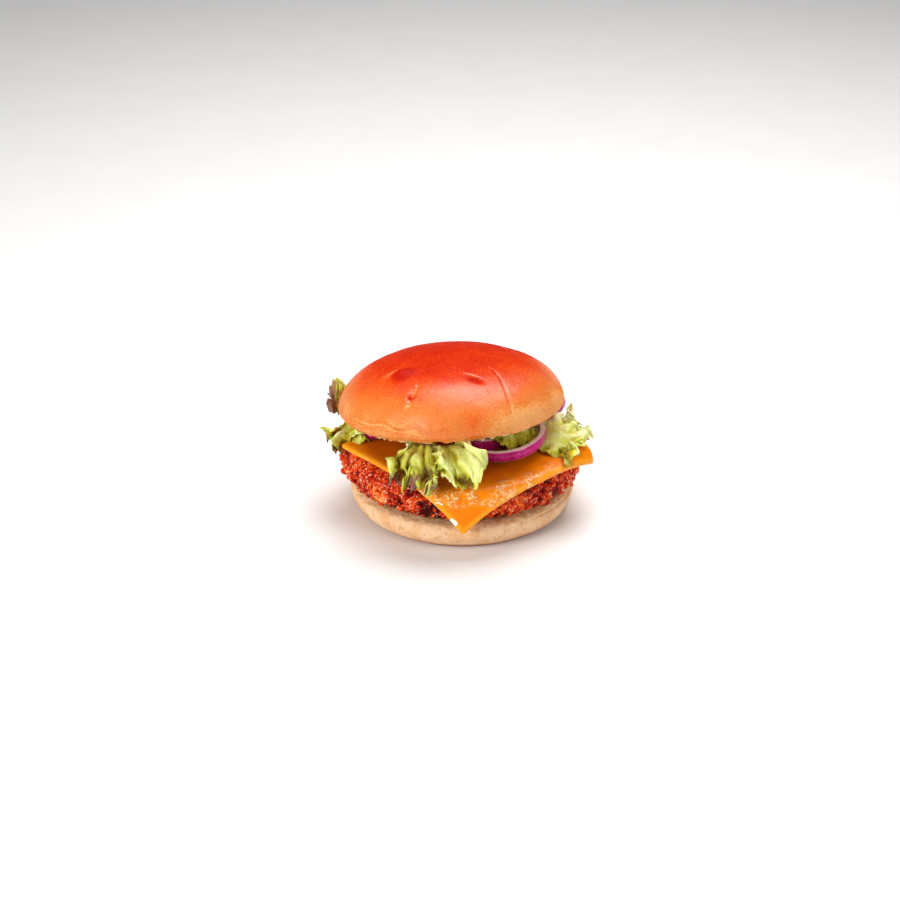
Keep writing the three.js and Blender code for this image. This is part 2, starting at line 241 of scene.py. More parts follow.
def paint(code):
    """A colour from its six-figure code, as the light it gives back."""
    parts = [int(code[i:i + 2], 16) / 255 for i in (0, 2, 4)]
    light = [p / 12.92 if p <= 0.04045 else ((p + 0.055) / 1.055) ** 2.4 for p in parts]
    return (*light, 1.0)


class Wire:
    """A socket of a finish that can be used in an expression."""

    def __init__(self, finish, socket):
        self.finish = finish
        self.socket = socket

    def _math(self, operation, *values):
        return self.finish.node("ShaderNodeMath", {"operation": operation}, *values)

    def __add__(self, other):
        return self._math("ADD", self, other)

    def __sub__(self, other):
        return self._math("SUBTRACT", self, other)

    def __rsub__(self, other):
        return self._math("SUBTRACT", other, self)

    def __mul__(self, other):
        return self._math("MULTIPLY", self, other)

    __radd__ = __add__
    __rmul__ = __mul__

    def clear(self, low, high):
        """0 below low, 1 above high and an S-curve between them."""
        return self.finish.node(
            "ShaderNodeMapRange",
            {"interpolation_type": "SMOOTHSTEP"},
            self, low, high,
        )


class Finish:
    """A material with one Principled shader, built from expressions."""

    def __init__(self, name, **constants):
        self.material = bpy.data.materials.new(name)
        self.material.use_nodes = True
        self.tree = self.material.node_tree
        self.shader = self.tree.nodes["Principled BSDF"]
        for key, value in constants.items():
            name = key.replace("_", " ").title().replace("Ior", "IOR")
            self.shader.inputs[name].default_value = value

    def node(self, kind, settings=None, *values, output=0, **named):
        """Any node: its settings first, then the values or wires of its sockets."""
        made = self.tree.nodes.new(kind)
        for key, value in (settings or {}).items():
            if key == "stops":
                self._stops(made.color_ramp, value)
            else:
                setattr(made, key, value)
        pairs = [*enumerate(values), *((k.replace("_", " "), v) for k, v in named.items())]
        for key, value in pairs:
            socket = made.inputs[key]
            if isinstance(value, Wire):
                self.tree.links.new(value.socket, socket)
            else:
                socket.default_value = value
        return Wire(self, made.outputs[output])

    @staticmethod
    def _stops(ramp, stops):
        while len(ramp.elements) < len(stops):
            ramp.elements.new(0.5)
        for element, (at, colour) in zip(ramp.elements, stops):
            element.position = at
            element.color = colour

    def place(self):
        """The point on the piece, in metres."""
        return self.node("ShaderNodeTexCoord", output="Object")

    def mark(self, name):
        return self.node("ShaderNodeAttribute", {"attribute_name": name}, output="Fac")

    def grain(self, size, detail, stretch=None):
        """Noise from 0 to 1 whose features are about size millimetres across."""
        where = self.place()
        if stretch:
            where = self.node("ShaderNodeMapping", None, where, Scale=stretch)
        return self.node("ShaderNodeTexNoise", None, where,
                         Scale=1 / (size * MM), Detail=detail, Roughness=GRAIN_ROUGHNESS)

    def mix(self, amount, a, b):
        """The colour a, with the colour b laid over it by the amount."""
        made = self.tree.nodes.new("ShaderNodeMix")
        made.data_type = "RGBA"
        sockets = {s.identifier: s for s in made.inputs}
        for key, value in (("Factor_Float", amount), ("A_Color", a), ("B_Color", b)):
            if isinstance(value, Wire):
                self.tree.links.new(value.socket, sockets[key])
            else:
                sockets[key].default_value = value
        return Wire(self, next(s for s in made.outputs if s.identifier == "Result_Color"))

    def ramp(self, value, stops):
        return self.node("ShaderNodeValToRGB", {"stops": stops}, value)

    def bump(self, height, depth, strength, below=None):
        """Relief of the given depth in millimetres, over the relief below."""
        made = self.node("ShaderNodeBump", None,
                         Strength=strength, Distance=depth * MM, Height=height)
        if below is not None:
            self.tree.links.new(below.socket, made.socket.node.inputs["Normal"])
        return made

    def feed(self, **wires):
        for key, wire in wires.items():
            name = key.replace("_", " ").title()
            self.tree.links.new(wire.socket, self.shader.inputs[name])
        return self.material


def crust_finish():
    """A glazed crown: deep red-orange on top, golden at the side, pale where it is torn or cut."""
    f = Finish("baked_crust", specular_ior_level=0.01, coat_roughness=0.4)
    bake, torn = f.mark("bake"), f.mark("torn")
    cloud = f.grain(11, 3)
    speck = f.grain(0.8, 3)
    fine = f.grain(0.7, 3)
    level = bake + (cloud - 0.5) * 0.42 + (speck - 0.5) * 0.4
    skin = f.ramp(level, [
        (0.0, paint("ECA462")), (0.14, paint("E07E34")), (0.38, paint("E26A1C")),
        (0.58, paint("DE4E08")), (0.78, paint("CC2E02")), (1.0, paint("B61400")),
    ])
    # Pale specks, partly the crust's own grain and partly painted glints, fewer where the crust is
    # darker.
    skin = f.mix((1 - speck).clear(0.54, 0.7) * (0.3 - bake * 0.24), skin, paint("F6B878"))
    skin = f.mix(fine.clear(0.54, 0.7) * 0.35, skin, paint("A83606"))
    crumb = f.mix(f.grain(2.2, 4), paint("F0D2A0"), paint("E2B57C"))
    colour = f.mix(torn.clear(0.3, 0.75), skin, crumb)
    relief = f.bump(f.grain(0.8, 3), 0.6, 0.9)
    relief = f.bump(f.grain(4, 2), 0.8, 0.45, relief)
    dull = torn.clear(0.3, 0.8) * 0.3 + 0.5 + (fine - 0.5) * 0.2
    glaze = (1 - torn.clear(0.2, 0.6)) * bake.clear(0.08, 0.26) * (1 - bake.clear(0.5, 0.8) * 0.9)
    return f.feed(base_color=colour, roughness=dull, coat_weight=glaze, normal=relief)


def heel_finish():
    """The pale soft side of the heel, browned where it stood on the baking tray, and darker along
    its crease and on patches of its lip.
    """
    f = Finish("soft_bread", roughness=0.75)
    brown, torn = f.mark("brown"), f.mark("torn")
    cloud = f.grain(11, 4)
    fine = f.grain(0.9, 3)
    skin = f.mix(cloud.clear(0.35, 0.7), paint("F0C69A"), paint("E4AA72"))
    skin = f.mix(fine.clear(0.52, 0.7) * 0.6, skin, paint("F4DCB8"))
    skin = f.mix(f.grain(2.6, 4).clear(0.54, 0.7) * 0.5, skin, paint("C2823E"))
    tray = f.mix(cloud, paint("A85410"), paint("CC7C28"))
    colour = f.mix((brown + (cloud - 0.5) * 0.5).clear(0.3, 0.85), skin, tray)
    crumb = f.mix(f.grain(2, 4).clear(0.4, 0.62), paint("F0CE9E"), paint("DEAC70"))
    colour = f.mix(torn.clear(0.3, 0.8), colour, crumb)
    relief = f.bump(f.grain(1.2, 5), 0.5, 0.9)
    relief = f.bump(f.grain(5, 3), 1.0, 0.6, relief)
    return f.feed(base_color=colour, normal=relief)


def patty_finish():
    """A fried spiced coating: red flakes, hollows darkened by painted shade, and lighter raised
    tips with painted glints.
    """
    f = Finish("fried_coating", specular_ior_level=0.04, coat_weight=0.16, coat_roughness=0.06)
    height = f.mark("height")
    cloud = f.grain(9, 2)
    fine = f.grain(1.5, 4)
    # Painted shade: the coating darkens down into its hollows, low down on the patty and in front
    # of the slice.
    level = height + (cloud - 0.5) * 0.7 + (fine - 0.5) * 0.95 - f.mark("soaked") * 0.3
    colour = f.ramp(level, [
        (0.1, paint("2E0000")), (0.34, paint("6E0400")), (0.53, paint("B01C00")),
        (0.74, paint("E24208")), (1.0, paint("FC9644")),
    ])
    glint = f.grain(1.0, 1).clear(0.61, 0.67) * height.clear(0.4, 0.65)
    colour = f.mix(glint * 0.9, colour, paint("FFCCA8"))
    relief = f.bump(f.grain(1.4, 3), 0.8, 0.9)
    return f.feed(base_color=colour, roughness=fine * 0.5 + 0.25, normal=relief)


def crumb_finish():
    """Crumbs of the coating that the fat has turned lighter."""
    f = Finish("fried_crumbs", specular_ior_level=0.04, coat_weight=0.25, coat_roughness=0.06)
    tone = f.grain(4, 3)
    fine = f.grain(0.9, 3)
    colour = f.ramp(tone + (fine - 0.5) * 0.5, [
        (0.25, paint("7A0800")), (0.45, paint("C42800")),
        (0.62, paint("F05C10")), (0.8, paint("FFC090")),
    ])
    return f.feed(base_color=colour, roughness=fine * 0.4 + 0.25, normal=f.bump(fine, 0.3, 0.8))


def cheese_finish():
    """Melted processed cheese: smooth, with an oily shine over the bend and small bubble froth
    there painted as pale highlight.
    """
    f = Finish("melted_cheese", roughness=0.4, coat_roughness=0.16, specular_ior_level=0.08,
               subsurface_weight=0.1, subsurface_scale=4 * MM)
    melt, rim, milk = f.mark("melt"), f.mark("rim"), f.mark("milk")
    cloud = f.grain(13, 2)
    fine = f.grain(2.2, 3)
    body = f.mix(cloud.clear(0.3, 0.75), paint("F88A00"), paint("EA7400"))
    # Painted highlight: the rounded cut edges are lighter.
    body = f.mix(rim * 0.6, body, paint("FBAA2A"))
    # Painted shade darkens the slice where it lies under the lid.
    body = f.mix(f.mark("covered") * 0.65, body, paint("8A2C00"))
    froth = f.grain(1.1, 2)
    # Painted highlight: pale froth over the shiny bend.
    painted_bubble_highlight = (fine * 0.45 + froth * 0.55).clear(0.48, 0.62) * melt
    colour = f.mix(painted_bubble_highlight * 0.8, body, paint("FFE6A6"))
    colour = f.mix((milk + (fine - 0.5) * 0.8).clear(0.35, 0.6), colour, paint("FFF2DC"))
    mild = f.bump(f.grain(6, 2), 0.4, 0.35)
    mild = f.bump((fine + froth) * melt, 0.8, 0.9, mild)
    return f.feed(base_color=colour, coat_weight=0.08 + melt * 0.45, normal=mild)


def leaf_finish(name, tips):
    """Frilly lettuce: pale ribs and stem, a yellow-green blade, and browned or purple tips."""
    f = Finish(name, subsurface_weight=0.3, subsurface_scale=4 * MM, specular_ior_level=0.25,
               coat_weight=0.05, coat_roughness=0.3)
    along, edge, tip, ridge = f.mark("along"), f.mark("edge"), f.mark("tip"), f.mark("ridge")
    uv = f.node("ShaderNodeUVMap", {"uv_map": "leaf"})
    cloud = f.grain(8, 3)
    fine = f.grain(2.2, 4)
    # Painted shade darkens the blade in the valleys of its folds and painted light lightens their
    # crests.
    blade = f.ramp(along * 0.45 + (cloud - 0.5) * 0.6 + (0.5 - ridge) * 0.75 + 0.28, [
        (0.0, paint("F8F4C0")), (0.3, paint("E6E27C")), (0.55, paint("CCC82C")),
        (0.8, paint("A89E10")), (1.0, paint("725C06")),
    ])
    warp = f.node("ShaderNodeTexNoise", None, uv, Scale=5.0, Detail=2.0, output="Color")
    warped = f.node("ShaderNodeVectorMath", {"operation": "ADD"}, uv, warp)
    cells = f.node("ShaderNodeTexVoronoi", {"feature": "DISTANCE_TO_EDGE"},
                   f.node("ShaderNodeMapping", None, warped, Scale=(10.0, 4.0, 1.0)), Scale=1.0)
    vein = 1 - cells.clear(0.0, 0.16)
    colour = f.mix(vein * (1 - edge * 0.8) * 0.35, blade, paint("E6E090"))
    colour = f.mix((fine - 0.5).clear(0.0, 0.3) * 0.3, colour, paint("F0ECA8"))
    browned = (tip + (fine - 0.5) * 0.7).clear(0.45, 0.8)
    colour = f.mix(browned * 0.9, colour, f.mix(cloud, paint(tips[0]), paint(tips[1])))
    relief = f.bump(vein * (1 - edge * 0.8), 0.4, 0.6)
    relief = f.bump(fine, 0.5, 0.5, relief)
    dull = 0.42 - edge * 0.1 + (fine - 0.5) * 0.2
    return f.feed(base_color=colour, roughness=dull, normal=relief)


def onion_finish():
    """Red onion: a shiny magenta skin over lilac-white flesh."""
    f = Finish("red_onion", coat_weight=0.3, coat_roughness=0.14, specular_ior_level=0.2,
               subsurface_weight=0.15, subsurface_scale=3 * MM)
    skin, depth = f.mark("skin"), f.mark("depth")
    streak = f.grain(5, 3, stretch=(1.0, 1.0, 0.25))
    fine = f.grain(1.2, 3)
    purple = f.mix(streak.clear(0.3, 0.7), paint("A80060"), paint("D82C94"))
    flesh = f.mix(depth.clear(0.1, 0.9), paint("FFF0F2"), paint("F0C0D4"))
    flesh = f.mix(fine * 0.4, flesh, paint("F7E9EA"))
    colour = f.mix(skin.clear(0.35, 0.7), flesh, purple)
    relief = f.bump(streak, 0.3, 0.4)
    return f.feed(base_color=colour, roughness=0.25 + (fine - 0.5) * 0.15, normal=relief)


# ---------------------------------------------------------------- bun

# base, widest and top are (radius, height). rings are those of the lower and upper edge, then of
# the base and the flat top, and around is the number of points in each.
HEEL = dict(
    base=(45.5, 0), widest=(54.5, 10), top=(50.5, 13.2), rings=((34, 12), 18, 10), around=420,
    lump=0.5, lump_size=16, seed=11, crease_at=0.84, crease_width=0.045,
)
CROWN = dict(
    centre=(-5, -1, 52.8), base=(41, -5.6), widest=(54.4, 0), top=(0, 27.3), tilt_back=10,
    roll=3.4, rings=((26, 120), 30, 0), around=460, lump=0.7, lump_size=22, seed=12,
)
# Marks on the crust, in plan: the middle, the half sizes and the turn in degrees of each.
CROWN_SPOTS = dict(
    blister=((-23.2, -23.2), (5.4, 3.6), 8),
    blister_painted_shade=((-20.8, -24.8), (3.8, 2.9), 8),
    blister_painted_highlight=((-26.5, -21.2), (3.0, 2.0), 8),
    dent=((13.0, -33.6), (3.6, 2.0), -20),
    dent_lip=((12.2, -31.6), (4.2, 1.1), -20),
    pock=((-17.6, -40.8), (1.5, 1.2)),
    top_nick=((2.7, -26.9), (1.8, 0.7)),
    pull=((9.7, -52.2), (6.5, 2.2), 10),
)
# Lines on the crust, in plan.
CROWN_CREASE = [
    (16.5, -21), (20.6, -24.6), (24, -30.4), (26.4, -37.2), (27.8, -41.8), (28.4, -44.6),
]
CROWN_CRACK = [(-13.6, -33.8), (-15.6, -37.5), (-17.6, -40.6), (-19.2, -43.4), (-20.8, -46.4)]
CROWN_NICK = [(18.2, -38.6), (20.2, -41.4)]
# Places lighter or darker than those around them: painted highlight over the middle of the front, a
# lighter patch at the front right and a darker band low on the front rim. By how much each adds to
# the bake, then as for a spot.
CROWN_LIGHT_AND_TONES = [
    (-0.1, (0, -42), (17, 5)),
    (-0.08, (36, -44), (9, 6), 40),
    (0.13, (-9, -53), (15, 2.6), -8),
]


def heel():
    """The lower half: a flat browned base, a soft side and a toasted, ragged cut lip."""
    points, faces = round_body(HEEL)
    reach = np.hypot(points[:, 0], points[:, 1])
    side = smooth(reach, HEEL["base"][0], HEEL["widest"][0])
    grow = HEEL["lump"] * side * noise_at(points, HEEL["lump_size"], HEEL["seed"])
    level = points[:, 2] / HEEL["top"][1]
    on_side = side * smooth(level, 0.05, 0.4)
    # A soft crease runs under the lip, deeper on the left, and the lip is ragged.
    angle = np.arctan2(points[:, 1], points[:, 0])
    crease_height = HEEL["crease_at"] + 0.05 * noise(angle * 3, 0, 0, 15)
    crease = np.exp(-(((level - crease_height) / HEEL["crease_width"]) ** 2))
    crease = crease * smooth(noise(angle * 1.3, 4, 0, 16), -0.5, 0.4)
    lip = smooth(level, 0.86, 1.0) * side
    grow = grow - 1.0 * crease * on_side + 0.7 * lip * noise_at(points, 2.2, 17)
    grow = grow + 0.16 * on_side * lumps(points, 5, 18)
    scale = 1 + grow / np.maximum(reach, 1)
    points[:, 0] *= scale
    points[:, 1] *= scale
    # The base is marked as torn where the dough tore from its neighbours.
    tear = smooth(lumps(points, 6, 19), 0.35, 0.9) * smooth(level, 0.0, 0.1)
    tear = tear * (1 - smooth(level, 0.15, 0.35))
    points[:, 2] += 0.5 * lip * lumps(points, 3, 20, 2)
    lip_brown = 0.4 * lip * smooth(noise(angle * 5, 2, 0, 23), -0.2, 0.6)
    marks = {
        "brown": (1 - smooth(level, 0.02, 0.4)) + 0.8 * crease + lip_brown,
        "torn": tear * 0.6 + smooth(level, 0.9, 0.97),
    }
    piece = build("heel_bread", points, faces, heel_finish(), marks)
    return dress(piece, "bun_heel", "bun_heel")


def crown_place():
    tilt = Matrix.Rotation(-math.radians(CROWN["tilt_back"]), 4, "X")
    roll = Matrix.Rotation(-math.radians(CROWN["roll"]), 4, "Y")
    return np.array(roll @ tilt)[:3, :3], np.array(CROWN["centre"], float)


def near_line(points, line):
    """The distance in plan from each point to a line of (x, y) points, and how far along it is."""
    best = np.full(len(points), 1e9)
    along = np.zeros(len(points))
    line = np.asarray(line, float)
    for k, (a, b) in enumerate(zip(line, line[1:])):
        way = b - a
        t = np.clip(((points[:, :2] - a) @ way) / (way @ way), 0, 1)
        gap = np.linalg.norm(points[:, :2] - a - t[:, None] * way, axis=1)
        near = gap < best
        best[near] = gap[near]
        along[near] = ((k + t) / (len(line) - 1))[near]
    return best, along


def spot(points, centre, size, turn=0.0):
    """A soft oval spot in plan, 1 at its middle."""
    c, s = math.cos(math.radians(turn)), math.sin(math.radians(turn))
    x, y = points[:, 0] - centre[0], points[:, 1] - centre[1]
    return np.exp(-(((x * c + y * s) / size[0]) ** 2) - (((y * c - x * s) / size[1]) ** 2))


def crown():
    """The lid, tipped back: a domed glazed crust with a blister, a dent, creases and a torn rim."""
    points, faces = round_body(CROWN)
    reach = np.hypot(points[:, 0], points[:, 1])
    inner = smooth(reach, 0, CROWN["base"][0])
    lump = CROWN["lump"] * inner * noise_at(points, CROWN["lump_size"], CROWN["seed"])
    lump = 1 + lump / CROWN["widest"][0]
    above = points[:, 2] > 0
    points[:, 0] *= lump
    points[:, 1] *= lump
    points[:, 2] = np.where(above, points[:, 2] * lump, points[:, 2])
    width, rise = CROWN["widest"][0], CROWN["top"][1]
    out = points / np.array([width, width, rise]) ** 2
    out[~above, 2] = points[~above, 2] / CROWN["base"][1] ** 2 * 0.4
    out /= np.maximum(np.linalg.norm(out, axis=1, keepdims=True), 1e-9)
    crust = above | (reach > CROWN["base"][0] + 2)
    level = points[:, 2] / rise

    at = {name: spot(points, *place) for name, place in CROWN_SPOTS.items()}
    crease, down = near_line(points, CROWN_CREASE)
    crease_painted_highlight, _ = near_line(points - np.array([1.1, 0.3, 0]), CROWN_CREASE)
    crease_painted_highlight = np.exp(-((crease_painted_highlight / 0.6) ** 2)) * smooth(down, 0, 0.3)
    crease = np.exp(-((crease / 0.45) ** 2)) * smooth(down, -0.1, 0.3)
    crack, run = near_line(points, CROWN_CRACK)
    crack = np.exp(-(((crack + 1.1 * noise_at(points, 1.7, 61)) / 0.7) ** 2))
    crack = crack * smooth(1 - np.abs(2 * run - 1), 0, 0.4)
    nick, _ = near_line(points, CROWN_NICK)
    nick = np.exp(-((nick / 0.35) ** 2))

    # Folds in the crust run along the rim at the front left.
    angle = np.degrees(np.arctan2(points[:, 1], points[:, 0]))
    at_folds = smooth(angle, -158, -138) * (1 - smooth(angle, -104, -88)) * above
    at_folds = at_folds * (1 - smooth(level, 0.12, 0.26))
    fold_wave = np.sin(level * 52 + 3.2 * noise(angle / 9, level * 8, 0, 62) + angle / 8)
    rim_rag = smooth(np.abs(points[:, 2] + 4.6), 2.2, 0.2) * (reach > CROWN["base"][0] - 1)

    # How far the crust stands out, in millimetres.
    grow = 2.0 * at["blister"] ** 0.7 - 1.3 * at["dent"] + 0.8 * at["dent_lip"]
    grow = grow - 0.6 * crease - 0.6 * crack - 1.2 * at["pock"]
    grow = grow - 0.3 * nick - 0.35 * at["top_nick"] - 0.5 * at["pull"]
    grow = grow + 0.36 * at_folds * fold_wave
    grow = grow + crust * (0.12 * lumps(points, 7, 63) + 0.05 * lumps(points, 1.3, 64, 2))
    grow = grow + 0.9 * rim_rag * lumps(points, 2.4, 65)
    points = points + out * grow[:, None]
    under = (~above) & (reach < CROWN["base"][0] + 1.5)
    points[under, 2] += 0.5 * lumps(points[under], 3.2, 66)

    turn, centre = crown_place()
    # 0 is the palest bread and 1 the darkest crust.
    facing = -points[:, 1] / width
    bake = 0.06 + 0.8 * smooth(level, 0.05, 1.0) + 0.16 * smooth(-facing, -0.4, 0.8)
    flecked = smooth(noise_at(points, 1.2, 69), -0.1, 0.3)
    # Painted shade on the blister's lower right and painted highlight on its upper left.
    bake = bake + 0.9 * at["blister_painted_shade"] - 0.5 * at["blister_painted_highlight"]
    # Painted highlight on the dent's lip, and painted shade in the dent and along the crease.
    bake = bake - 0.45 * at["dent_lip"] + 0.4 * at["dent"] + 0.1 * crease
    # Painted shade in the pock and painted highlight beside the crease; the crack's flecks are
    # paler and the pull darker.
    bake = bake + 0.9 * at["pock"] - 0.6 * crack * flecked + 0.3 * at["pull"] - 0.14 * crease_painted_highlight
    # Painted highlight on the crests of the rim folds.
    bake = bake - 0.14 * at_folds * smooth(fold_wave, 0.2, 1)
    bake = bake - 0.09 * smooth(points[:, 0], 5, 35) * (1 - smooth(level, 0.15, 0.45))
    bake = bake + 0.07 * smooth(-points[:, 0], -15, 15) * (1 - smooth(level, 0.1, 0.3))
    for amount, *place in CROWN_LIGHT_AND_TONES:
        bake = bake + amount * spot(points, *place)
    torn = 0.9 * smooth(-points[:, 2], 3.9, 5.3)
    torn = torn + 0.8 * crack * (1 - at["pock"]) * smooth(noise_at(points, 1.1, 67), -0.1, 0.3)
    torn = torn + 0.75 * smooth(rim_rag * lumps(points, 2.8, 68), 0.25, 0.8)
    marks = {"bake": bake, "torn": torn}
    piece = build("crown_bread", points @ turn.T + centre, faces, crust_finish(), marks)
    return dress(piece, "bun_crown", "bun_crown")


# ---------------------------------------------------------------- patty

PATTY = dict(
    centre=(-0.3, 0), base=(47.5, 0), widest=(57, 10.5), top=(51, 18.2), rings=((36, 38), 4, 12),
    around=880, front_trim=3.8, trim_from=0.2, relief_span=(0.9, 1.06), top_relief=0.3,
    crag=1.5, crag_size=8, crag_seed=21, crumb=0.7, crumb_size=3.6, crumb_seed=22,
    flake=0.8, flake_size=3.6, grit=0.5, grit_size=1.9,
)
# Crumbs fused to the coating. Smallest and Largest scale the one crumb that is modelled.
CRUMBS = {"Per square metre": 90000.0, "Smallest": 0.4, "Largest": 1.7, "Sink": 0.3 * MM, "Seed": 5}
PATTY_BOTTOM = HEEL["top"][1] + GAP
PATTY_TOP = PATTY_BOTTOM + PATTY["top"][1]


def patty():
    """A fried chicken patty with a craggy, flaky coating."""
    points, faces = round_body(PATTY)
    reach = np.maximum(np.hypot(points[:, 0], points[:, 1]), 1)
    side = smooth(reach / PATTY["base"][0], *PATTY["relief_span"])
    top = smooth(points[:, 2], PATTY["widest"][1], PATTY["top"][1])
    crag = PATTY["crag"] * noise_at(points, PATTY["crag_size"], PATTY["crag_seed"])
    relief = crag + PATTY["crumb"] * noise_at(points, PATTY["crumb_size"], PATTY["crumb_seed"])
    # Flakes have sharp tops and round hollows between them.
    flakes = 1 - 2 * np.abs(noise_at(points, PATTY["flake_size"], 71))
    grit = 1 - 2 * np.abs(noise_at(points, PATTY["grit_size"], 72))
    fine = PATTY["flake"] * flakes + PATTY["grit"] * grit + 0.2 * noise_at(points, 1.0, 73) - 0.5
    front = smooth(-points[:, 1] / reach, PATTY["trim_from"], 1)
    shrink = PATTY["front_trim"] / PATTY["widest"][0] * front
    scale = 1 - shrink + side * (relief + fine) / reach
    rise = top * PATTY["top_relief"] * relief / (PATTY["crag"] + PATTY["crumb"])
    fall = side * 0.5 * noise_at(points, 2.2, 74)
    placed = np.stack([
        PATTY["centre"][0] + points[:, 0] * scale,
        PATTY["centre"][1] + points[:, 1] * scale,
        PATTY_BOTTOM + points[:, 2] + rise + fall * smooth(points[:, 2], 1, 4) * (1 - top),
    ], axis=1)
    height = 0.5 + 0.18 * relief + 0.28 * (fine + 0.3)
    # Painted shade darkens the coating low down and in front of the slice.
    angle = np.degrees(np.arctan2(points[:, 1], points[:, 0]))
    soaked = 0.7 * np.exp(-(((angle + 104) / 15) ** 2)) + 0.5 * (1 - smooth(points[:, 2], 1, 6))
    marks = {"height": height, "side": side, "soaked": soaked}
    return build("patty_coating", placed, faces, patty_finish(), marks)


# ---------------------------------------------------------------- cheese

CHEESE = dict(
    side=88, thickness=2.7, centre=(4, -13.5), turn=-3.2, front_edge=51.2, side_edge=58.5,
    front_span=(0.1, 0.9), bend_radius=6.5, hang=80, ripple=0.35, ripple_size=14, seed=31,
    squares=170, rim_rows=5, melt=0.14, melt_size=2.6,
)
# Milky drips at the cut edge: the middle and half sizes as shares of the side, and the turn.
CHEESE_DRIPS = [((0.0, 0.085), (0.011, 0.03)), ((0.018, 0.215), (0.006, 0.022), 14)]
CHEESE_LEVEL = PATTY_TOP + PATTY["top_relief"] + GAP + CHEESE["thickness"] / 2


def cheese_surface(u, v):
    """The middle of the slice: flat on the patty, bent over its edge and hanging down."""
    size = CHEESE["side"] - CHEESE["thickness"] * 0.6
    a, b = (u - 0.5) * size, (v - 0.5) * size
    # The cut edges waver a little and the corners are soft.
    sag = 1 - 0.005 * (np.abs(2 * u - 1) ** 6 * np.abs(2 * v - 1) ** 6)
    a, b = a * sag, b * sag
    turn = math.radians(45 + CHEESE["turn"])
    x = CHEESE["centre"][0] + a * math.cos(turn) - b * math.sin(turn) - PATTY["centre"][0]
    y = CHEESE["centre"][1] + a * math.sin(turn) + b * math.cos(turn) - PATTY["centre"][1]
    reach = np.maximum(np.hypot(x, y), 1)
    front = smooth(-y / reach, *CHEESE["front_span"])
    edge = blend(CHEESE["side_edge"], CHEESE["front_edge"], front)
    over = np.maximum(reach - edge, 0)
    bend = np.minimum(over / CHEESE["bend_radius"], math.radians(CHEESE["hang"]))
    hang = over - bend * CHEESE["bend_radius"]
    outward = np.minimum(reach, edge) + CHEESE["bend_radius"] * np.sin(bend) + hang * np.cos(bend)
    down = CHEESE["bend_radius"] * (1 - np.cos(bend)) + hang * np.sin(bend)
    size = CHEESE["ripple_size"]
    ripple = CHEESE["ripple"] * (1 + noise(x / size, y / size, 0, CHEESE["seed"]))
    size = CHEESE["melt_size"]
    melt = CHEESE["melt"] * smooth(over, 0.5, 5) * noise(x / size, y / size, down / size, 81)
    outward = outward + melt
    return np.stack([
        PATTY["centre"][0] + x * outward / reach,
        PATTY["centre"][1] + y * outward / reach,
        CHEESE_LEVEL - down + ripple,
    ], axis=1)


def cheese():
    """A square slice draped over the patty, its front corner hanging down."""
    squares = CHEESE["squares"]
    points, faces, uv = sheet(squares, squares, lambda u, v: CHEESE["thickness"] + 0 * u,
                              cheese_surface, CHEESE["rim_rows"])
    x, y = points[:, 0] - PATTY["centre"][0], points[:, 1] - PATTY["centre"][1]
    reach = np.hypot(x, y)
    front = smooth(-y / np.maximum(reach, 1), 0.35, 0.8)
    # The shine lies on the bend, broken up into patches: a glossier coat there, and a painted
    # highlight.
    level = points[:, 2] + 1.6 * noise_at(points, 7, 83)
    band = smooth(reach + 1.5 * noise_at(points, 5, 84), 50, 53) * smooth(level, 26.5, 29)
    melt = band * front * smooth(noise_at(points, 4.5, 82), -0.5, 0.3)
    milk = sum(spot(uv, *drip) for drip in CHEESE_DRIPS)
    # The rim mark carries the painted highlight along the cut edges.
    from_rim = np.minimum.reduce([uv[:, 0], 1 - uv[:, 0], uv[:, 1], 1 - uv[:, 1]]) * CHEESE["side"]
    # Under the lid the slice is darkened with painted shade.
    from_lid = np.hypot(points[:, 0] - CROWN["centre"][0], points[:, 1] - CROWN["centre"][1])
    covered = 1 - smooth(from_lid, 38, 50)
    marks = {"melt": melt, "rim": 1 - smooth(from_rim, 0.3, 2.2), "milk": milk, "covered": covered}
    piece = build("cheese_melt", points, faces, cheese_finish(), marks)
    return dress(piece, "cheese", "cheese_slice")


# ---------------------------------------------------------------- onion

ONION = dict(around=220, skin_bulge=0.14, hollow=0.08, oval=0.03, wobble=0.015, cut_bulge=0.12)
ONION_RINGS = [
    ("front", (18.5, -12.5, 40.7), 22.5, 2.8, 4.8, 6),
    ("small", (11, -10, 39.1), 10.6, 2.4, 5.6, 1),
    ("left", (-44.5, 4, 38.1), 12, 2.4, 3.2, 0),
    ("right", (36, 25.5, 40.3), 15.5, 2.6, 4.6, 1),
]


